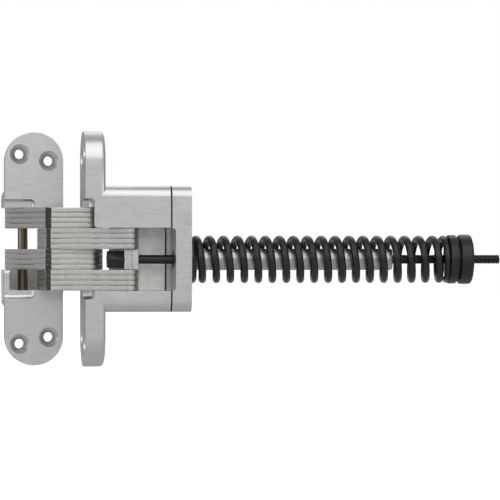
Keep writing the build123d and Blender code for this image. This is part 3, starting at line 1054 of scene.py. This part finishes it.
@dataclass
class ClosingSpring:
    """The compression spring: closed end turns, cut flat at the cap and at the seat."""

    wire_diameter: float = 4.5 * MM
    outer_diameter: float = 29.1 * MM
    turns: float = 19.45
    closed_turns: float = 1.0
    easing_turns: float = 0.5
    start_angle_deg: float = -238.0
    points_per_turn: int = 16
    ring_half_sides: int = 6

    def path(self) -> list[Vector]:
        """Works out the wire's centre line, whose pitch eases in from the closed end turns.

        Returns:
            The centre line's points, from the cap to the seat.
        """
        low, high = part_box("spring")
        centre_y = (low.y + high.y) / 2
        centre_z = (low.z + high.z) / 2
        radius = (self.outer_diameter - self.wire_diameter) / 2
        count = round(self.turns * self.points_per_turn)
        weights = [self.openness(self.turns * (step + 0.5) / count) for step in range(count)]
        closed_step = self.wire_diameter / self.points_per_turn
        spare = high.x - low.x - count * closed_step
        open_step = spare / sum(weights)
        x = low.x
        points = []
        for step in range(count + 1):
            angle = radians(self.start_angle_deg) + tau * self.turns * step / count
            points.append(Vector((x, centre_y + radius * cos(angle), centre_z + radius * sin(angle))))
            if step < count:
                x += closed_step + open_step * weights[step]
        return points

    def openness(self, turn: float) -> float:
        """Says how open the coil is at a turn.

        Args:
            turn: The turn, counted from the cap.

        Returns:
            0 in the closed turns and 1 in the active ones, with an easing between them.
        """
        from_end = min(turn, self.turns - turn) - self.closed_turns
        share = min(max(from_end / self.easing_turns + 0.5, 0.0), 1.0)
        return share * share * (3 - 2 * share)

    def build(self, finishes: Finishes) -> bpy.types.Object:
        """Coils the wire along its path and cuts both ends flat. The cut faces stay open.

        Args:
            finishes: The hinge's materials.

        Returns:
            The finished spring.
        """
        low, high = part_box("spring")
        points = self.path()
        bpy.ops.object.select_all(action="DESELECT")
        bpy.ops.curve.primitive_nurbs_path_add(location=(0, 0, 0))
        piece = bpy.context.active_object
        piece.name = "closing_spring"
        curve = piece.data
        curve.splines.clear()
        spline = curve.splines.new("NURBS")
        spline.points.add(len(points) - 1)
        for point, place in zip(spline.points, points):
            point.co = (*place, 1)
        spline.order_u = 4
        spline.use_endpoint_u = True
        curve.resolution_u = 2
        curve.bevel_depth = self.wire_diameter / 2
        curve.bevel_resolution = self.ring_half_sides
        curve.use_fill_caps = True
        Bench.only(piece)
        bpy.ops.object.convert(target="MESH")
        for place, normal in ((low, Vector((-1, 0, 0))), (high, Vector((1, 0, 0)))):
            Bench.cut(piece, place, normal)
        with Bench.editing(piece):
            bpy.ops.mesh.normals_make_consistent(inside=False)
        paint(piece, finishes.spring_black)
        Bench.smooth(piece, angle_deg=40)
        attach(piece, Body.DOOR.value)
        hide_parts("spring")
        return piece


@dataclass
class DrawRod:
    """The rod that pulls the door leaf shut, with its hexagonal head and rolled end thread."""

    diameter: float = 5.3 * MM
    head_round: float = 0.5 * MM
    thread_pitch: float = 0.8 * MM
    thread_depth: float = 0.35 * MM
    thread_reach_inside: float = 12.0 * MM
    thread_steps: int = 20
    merge_gap: float = 0.005 * MM

    def build(self, finishes: Finishes) -> bpy.types.Object:
        """Models the rod in one piece with its head and thread.

        Args:
            finishes: The hinge's materials.

        Returns:
            The finished rod.
        """
        seat_low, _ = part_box("spring_seat")
        thread_start = seat_low.x - self.thread_reach_inside
        shank = solid_copy("draw_rod", "draw_rod_shank")
        Bench.cut(shank, Vector((thread_start, 0, 0)), Vector((1, 0, 0)))
        Bench.round_edges(shank, self.head_round, angle_deg=40, segments=3)
        thread = self.thread(thread_start)
        rod = Bench.join([shank, thread])
        rod.name = "draw_rod_threaded"
        paint(rod, finishes.rod_black)
        Bench.smooth(rod, angle_deg=40)
        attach(rod, Body.DRAWBAR.value)
        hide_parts("draw_rod")
        return rod

    def thread(self, start: float) -> bpy.types.Object:
        """Rolls the thread from a place on the rod to its tip.

        Args:
            start: Where the thread starts along X.

        Returns:
            The threaded end as its own closed piece.
        """
        low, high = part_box("draw_rod")
        centre = Vector((0, (low.y + high.y) / 2, (low.z + high.z) / 2))
        crest = self.diameter / 2
        root = crest - self.thread_depth
        # One turn's outline: shares of the pitch, each with its radius.
        profile = ((0.0, root), (0.3, root), (0.5, crest), (0.8, crest), (1.0, root))
        mesh = bpy.data.meshes.new("thread_profile")
        points = [(share * self.thread_pitch, 0.0, radius) for share, radius in profile]
        mesh.from_pydata(points, [(i, i + 1) for i in range(len(points) - 1)], [])
        piece = Bench.new_object("draw_rod_thread", mesh)
        turns = round((high.x - start) / self.thread_pitch) + 2
        screw = piece.modifiers.new("thread", "SCREW")
        screw.axis = "X"
        screw.screw_offset = self.thread_pitch
        screw.steps = self.thread_steps
        screw.render_steps = self.thread_steps
        screw.iterations = turns
        screw.use_merge_vertices = True
        Bench.apply_modifiers(piece)
        piece.location = centre + Vector((start - self.thread_pitch, 0, 0))
        Bench.apply_place(piece)
        with Bench.editing(piece):
            bpy.ops.mesh.remove_doubles(threshold=self.merge_gap)
            bpy.ops.mesh.fill_holes(sides=0)
            bpy.ops.mesh.normals_make_consistent(inside=False)
        Bench.cut(piece, Vector((start, 0, 0)), Vector((-1, 0, 0)))
        Bench.cut(piece, Vector((high.x, 0, 0)), Vector((1, 0, 0)))
        return piece


@dataclass
class SpringHolder:
    """The seat and the adjusting nut that hold the spring on the rod."""

    seat_round: float = 0.5 * MM
    nut_round: float = 0.5 * MM

    def build(self, finishes: Finishes) -> list[bpy.types.Object]:
        """Models the seat and the nut with rounded rims.

        Args:
            finishes: The hinge's materials.

        Returns:
            The finished pieces.
        """
        pieces = []
        for node, name, rim in (
            ("spring_seat", "spring_seat_turned", self.seat_round),
            ("adjusting_nut", "adjusting_nut_turned", self.nut_round),
        ):
            piece = solid_copy(node, name)
            Bench.round_edges(piece, rim, angle_deg=30, segments=3)
            paint(piece, finishes.rod_black)
            Bench.smooth(piece)
            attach(piece, Body.DRAWBAR.value)
            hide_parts(node)
            pieces.append(piece)
        return pieces


@dataclass
class Linkage:
    """The crossing link packs and the pins that they turn on.

    The plates' outer sides flare further than the frame's, so a wedge is added to either arm. Both
    arms meet at a small nick.
    """

    plates_per_pack: int = 8
    elbow_reach: float = 4.65 * MM
    nick_reach: float = 2.44 * MM
    nick_drop: float = 0.4 * MM
    long_end: float = 52.11 * MM
    long_flare: float = 11.6 * MM
    long_round: float = 4.0 * MM
    long_inner_side: float = 2.5 * MM
    long_inner_point: tuple[float, float] = (45.1 * MM, 5.0 * MM)
    short_end: float = 3.6 * MM
    short_flare: float = 12.9 * MM
    short_round: float = 8.0 * MM
    short_inner_side: float = -14.5 * MM
    short_inner_point_mm: tuple[float, float] = (31.0, -18.5)
    edge_round: float = 0.3 * MM
    pin_stub: float = 0.6 * MM

    def build(self, finishes: Finishes) -> list[bpy.types.Object]:
        """Models the plates of both packs and their common pin.

        Args:
            finishes: The hinge's materials.

        Returns:
            The finished pieces.
        """
        master = self.master_plate()
        paint(master, finishes.link_steel, finishes.painted_nick_and_seam_shade)
        # Painted shade: the nick's faces take the dark colour of the shadow in the nick.
        paint_where(master, 1, self.is_nick)
        Bench.smooth(master)
        level = centre_of("link_a_plate_1").z
        pieces = []
        packs = (("a", Body.LINK_A, Matrix.Identity(4)), ("b", Body.LINK_B, half_turn()))
        for pack, body, turn in packs:
            for number in range(1, self.plates_per_pack + 1):
                node = f"link_{pack}_plate_{number}"
                mesh = master.data.copy()
                mesh.transform(turn)
                turned_level = level if pack == "a" else -level
                mesh.transform(Matrix.Translation((0, 0, centre_of(node).z - turned_level)))
                plate = Bench.new_object(node + "_stamped", mesh)
                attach(plate, body.value)
                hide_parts(node)
                pieces.append(plate)
        bpy.data.objects.remove(master)
        pieces.append(self.crossing_pin(finishes))
        return pieces

    def elbow(self) -> Vector:
        """Gives the corner where the two outer sides of a plate meet, in plan."""
        crossing = centre_of("crossing_pin")
        return Vector((crossing.x - self.elbow_reach / sqrt(2), crossing.y - self.elbow_reach / sqrt(2)))

    def is_nick(self, centre: Vector) -> bool:
        """Says whether a face of a plate of pack A lies in the nick.

        Args:
            centre: The face's centre.

        Returns:
            True for a face of the nick.
        """
        away = centre.xy - self.elbow()
        on_cut = abs(away.x + away.y - (self.nick_reach - self.nick_drop)) < 2 * TOUCH
        return on_cut and max(abs(away.x), abs(away.y)) < self.nick_reach

    def master_plate(self) -> bpy.types.Object:
        """Models one plate of pack A in its own place.

        Returns:
            The plate.
        """
        low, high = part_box("link_a_plate_1")
        plate = solid_copy("link_a_plate_1", "master_plate")
        elbow = self.elbow()
        crossing = centre_of("crossing_pin").xy
        along = (centre_of("jamb_slide_pin").xy - crossing).normalized()
        outward = Vector((-along.y, along.x))

        def on_arm(distance: float, side: float) -> Vector:
            """Gives a place along the long arm and out to its side."""
            return crossing + along * distance + outward * side

        long_corner = on_arm(self.long_end, self.long_flare)
        long_edge = on_arm(self.long_end, self.long_inner_side)
        long_side = [
            elbow,
            *rounded_corner(elbow, long_corner, long_edge, self.long_round),
            long_edge,
            on_arm(*self.long_inner_point),
        ]
        pivot = centre_of("door_pivot_pin").xy
        end = pivot.x + self.short_end
        short_corner = Vector((end, pivot.y - self.short_flare))
        short_edge = Vector((end, self.short_inner_side))
        short_side = [
            elbow,
            *rounded_corner(elbow, short_corner, short_edge, self.short_round),
            short_edge,
            Vector(self.short_inner_point_mm) * MM,
        ]
        for outline in (long_side, short_side):
            wedge = Bench.prism(outline, low[2], high[2])
            Bench.round_edges(wedge, self.edge_round, angle_deg=60, segments=2)
            Bench.combine(plate, wedge, "UNION")
        right = elbow + Vector((self.nick_reach, -self.nick_drop))
        left = elbow + Vector((-self.nick_drop, self.nick_reach))
        outside = Vector((-2, -2)) * MM
        nick = [right, left, left + outside, right + outside]
        Bench.combine(plate, Bench.prism(nick, low[2] - MM, high[2] + MM), "DIFFERENCE")
        return plate

    def crossing_pin(self, finishes: Finishes) -> bpy.types.Object:
        """Models the common pin with the short stubs of the real one.

        Args:
            finishes: The hinge's materials.

        Returns:
            The finished pin.
        """
        pin = solid_copy("crossing_pin", "crossing_pin_ground")
        plates = [f"link_a_plate_{number}" for number in range(1, self.plates_per_pack + 1)]
        top = max(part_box(plate)[1][2] for plate in plates)
        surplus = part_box("crossing_pin")[1][2] - top - self.pin_stub
        for vertex in pin.data.vertices:
            vertex.co.z -= surplus if vertex.co.z > 0 else -surplus
        paint(pin, finishes.pin_steel)
        Bench.smooth(pin)
        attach(pin, Body.LINK_B.value)
        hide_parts("crossing_pin")
        return pin

    def dress(self, nodes: dict[str, bpy.types.Object], finishes: Finishes) -> int:
        """Gives the frame's pins and its trunnion their finishes.

        Args:
            nodes: The frame's nodes by name.
            finishes: The hinge's materials.

        Returns:
            How many nodes were dressed.
        """
        dressed = {
            "jamb_pivot_pin": finishes.pin_steel,
            "door_pivot_pin": finishes.pin_steel,
            "jamb_slide_pin": finishes.bronze,
            "trunnion": finishes.trunnion_steel,
        }
        for name, material in dressed.items():
            paint(nodes[name], material)
        return len(dressed)


@dataclass
class Studio:
    """Floor, lamps, world and camera."""

    yaw_deg: float = 8.0
    distance: float = 2.4
    frame_width: float = 0.2995
    aim_across: float = 0.12927
    aim_up: float = -0.0006
    floor_gap: float = 0.03
    floor_size: float = 14.0
    floor_tone: float = 0.7
    floor_roughness: float = 0.7
    floor_glow: float = 0.85
    background: float = 1.0
    surround: tuple[tuple[float, tuple[float, float, float]], ...] = (
        (0.42, (0.34, 0.34, 0.34)),
        (0.75, (0.55, 0.55, 0.56)),
    )
    lamp_aim_share: float = 0.6
    lamps: list[tuple[str, Vector, float, float]] = field(
        default_factory=lambda: [
            ("key_softbox", Vector((0.05, -1.06, 0.92)), 1.8, 13.0),
            ("fill_softbox", Vector((1.1, -0.9, 0.1)), 0.7, 0.7),
            ("rim_softbox", Vector((0.2, 0.9, 0.9)), 0.8, 2.0),
            ("left_softbox", Vector((-1.3, -0.45, 0.25)), 0.9, 4.5),
        ]
    )

    def build(self) -> None:
        """Sets up the whole studio."""
        self.world()
        self.floor()
        for name, place, size, power in self.lamps:
            self.lamp(name, place, size, power)
        self.camera()
        bpy.context.scene.view_settings.view_transform = "Standard"

    def world(self) -> None:
        """Makes a white background and a soft, darker surround for the light on the object."""
        world = bpy.data.worlds.new("studio_world")
        world.use_nodes = True
        bpy.context.scene.world = world
        nodes = world.node_tree.nodes
        links = world.node_tree.links
        surround = nodes["Background"]
        path = nodes.new("ShaderNodeLightPath")
        place = nodes.new("ShaderNodeTexCoord")
        split = nodes.new("ShaderNodeSeparateXYZ")
        ramp = nodes.new("ShaderNodeValToRGB")
        height = nodes.new("ShaderNodeMapRange")
        height.inputs["From Min"].default_value = -1
        links.new(place.outputs["Generated"], split.inputs["Vector"])
        links.new(split.outputs["Z"], height.inputs["Value"])
        links.new(height.outputs["Result"], ramp.inputs["Fac"])
        for element, (level, colour) in zip(ramp.color_ramp.elements, self.surround):
            element.position = level
            element.color = (*colour, 1)
        mix = nodes.new("ShaderNodeMix")
        mix.data_type = "RGBA"
        links.new(path.outputs["Is Camera Ray"], mix.inputs["Factor"])
        links.new(ramp.outputs["Color"], mix.inputs[6])
        mix.inputs[7].default_value = (self.background,) * 3 + (1,)
        links.new(mix.outputs[2], surround.inputs["Color"])

    def floor(self) -> None:
        """Lays a pale floor under the object that keeps its shadow."""
        low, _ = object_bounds()
        bpy.ops.object.select_all(action="DESELECT")
        bpy.ops.mesh.primitive_plane_add(size=self.floor_size, location=(0, 0, low[2] - self.floor_gap))
        floor = bpy.context.active_object
        floor.name = "studio_floor"
        sheet = ShaderSheet("pale_floor")
        sheet.fix("Base Color", (self.floor_tone,) * 3 + (1,))
        sheet.fix("Roughness", self.floor_roughness)
        sheet.fix("Emission Color", (1, 1, 1, 1))
        path = sheet.add("LightPath")
        sheet.feed("Emission Strength", sheet.span(path.outputs["Is Camera Ray"], 0.0, self.floor_glow))
        paint(floor, sheet.material)
        floor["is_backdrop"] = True

    def lamp(self, name: str, place: Vector, size: float, power: float) -> None:
        """Hangs a square softbox that faces the hinge.

        Args:
            name: The lamp's name.
            place: Where it hangs.
            size: The length of its side.
            power: Its power in watts.
        """
        data = bpy.data.lights.new(name, "AREA")
        data.size = size
        data.energy = power
        lamp = Bench.new_object(name, data)
        target = Vector((self.aim_across * self.lamp_aim_share, 0, 0))
        lamp.location = place
        lamp.rotation_euler = (target - place).to_track_quat("-Z", "Y").to_euler()

    def camera(self) -> None:
        """Points a long lens at the hinge, level and a little from the left."""
        yaw = radians(self.yaw_deg)
        right = Vector((cos(yaw), -sin(yaw), 0))
        ahead = Vector((sin(yaw), cos(yaw), 0))
        data = bpy.data.cameras.new("studio_camera")
        data.sensor_width = 36
        data.lens = data.sensor_width * self.distance / self.frame_width
        data.clip_end = 50
        camera = Bench.new_object("studio_camera", data)
        camera.location = right * self.aim_across + Vector((0, 0, self.aim_up)) - ahead * self.distance
        camera.rotation_euler = ahead.to_track_quat("-Z", "Y").to_euler()
        bpy.context.scene.camera = camera


def main() -> None:
    logging.basicConfig(level=logging.INFO, format="%(name)s: %(message)s")
    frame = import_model()
    finishes = Finishes()
    pieces = [
        Leaf("jamb_leaf", Body.JAMB, depth_axis=1).build(finishes),
        Leaf("door_leaf", Body.DOOR, depth_axis=0).build(finishes),
        *EndCap().build(finishes),
        ClosingSpring().build(finishes),
        DrawRod().build(finishes),
        *SpringHolder().build(finishes),
        *Linkage().build(finishes),
    ]
    for piece in pieces:
        LOG.info("%s: %d faces", piece.name, len(piece.data.polygons))
    dressed = Linkage().dress(frame["nodes"], finishes)
    LOG.info("dressed %d plates and pins", dressed)
    Studio().build()


if __name__ == "__main__":
    main()
